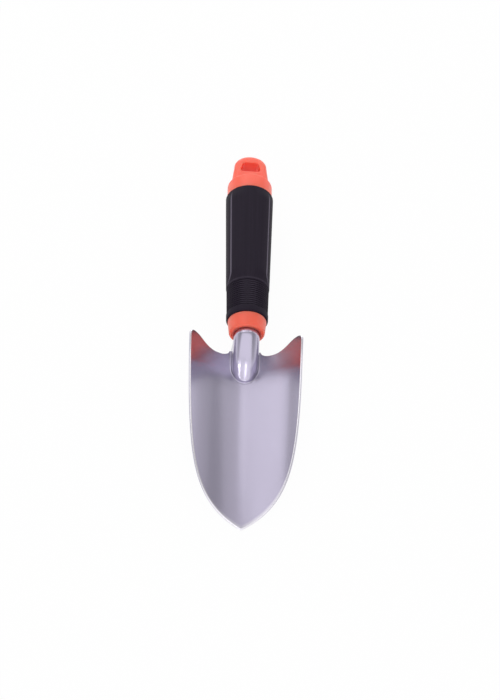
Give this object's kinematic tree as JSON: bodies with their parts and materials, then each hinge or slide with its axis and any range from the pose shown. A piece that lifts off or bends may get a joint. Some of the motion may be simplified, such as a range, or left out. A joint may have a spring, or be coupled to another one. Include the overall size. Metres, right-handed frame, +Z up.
{
  "type": "garden trowel",
  "caption": "Hand trowel for planting: a dished, pointed steel blade with two rear horns, whose hollow neck runs into a straight plastic and rubber handle with a hang hole.",
  "frame": {"origin": "on the surface that the trowel lies on, midway between tip and butt, under the centre line", "axes": "+Y along the trowel towards the butt of the handle, so the tip points along -Y; +Z up, out of the blade's hollow side; +X to the right seen from the tip's side"},
  "size_m": [0.0806, 0.306, 0.0354],
  "materials": {
    "painted_steel": "satin silver paint",
    "orange_plastic": "moulded, slightly glossy",
    "black_rubber": "matte moulded rubber",
    "plain_steel": "plain bright steel"
  },
  "bodies": {
    "root": {"blade": "painted_steel", "handle_core": "orange_plastic", "grip_sleeve": "black_rubber", "tang_pin": "plain_steel"}
  },
  "joints": []
}
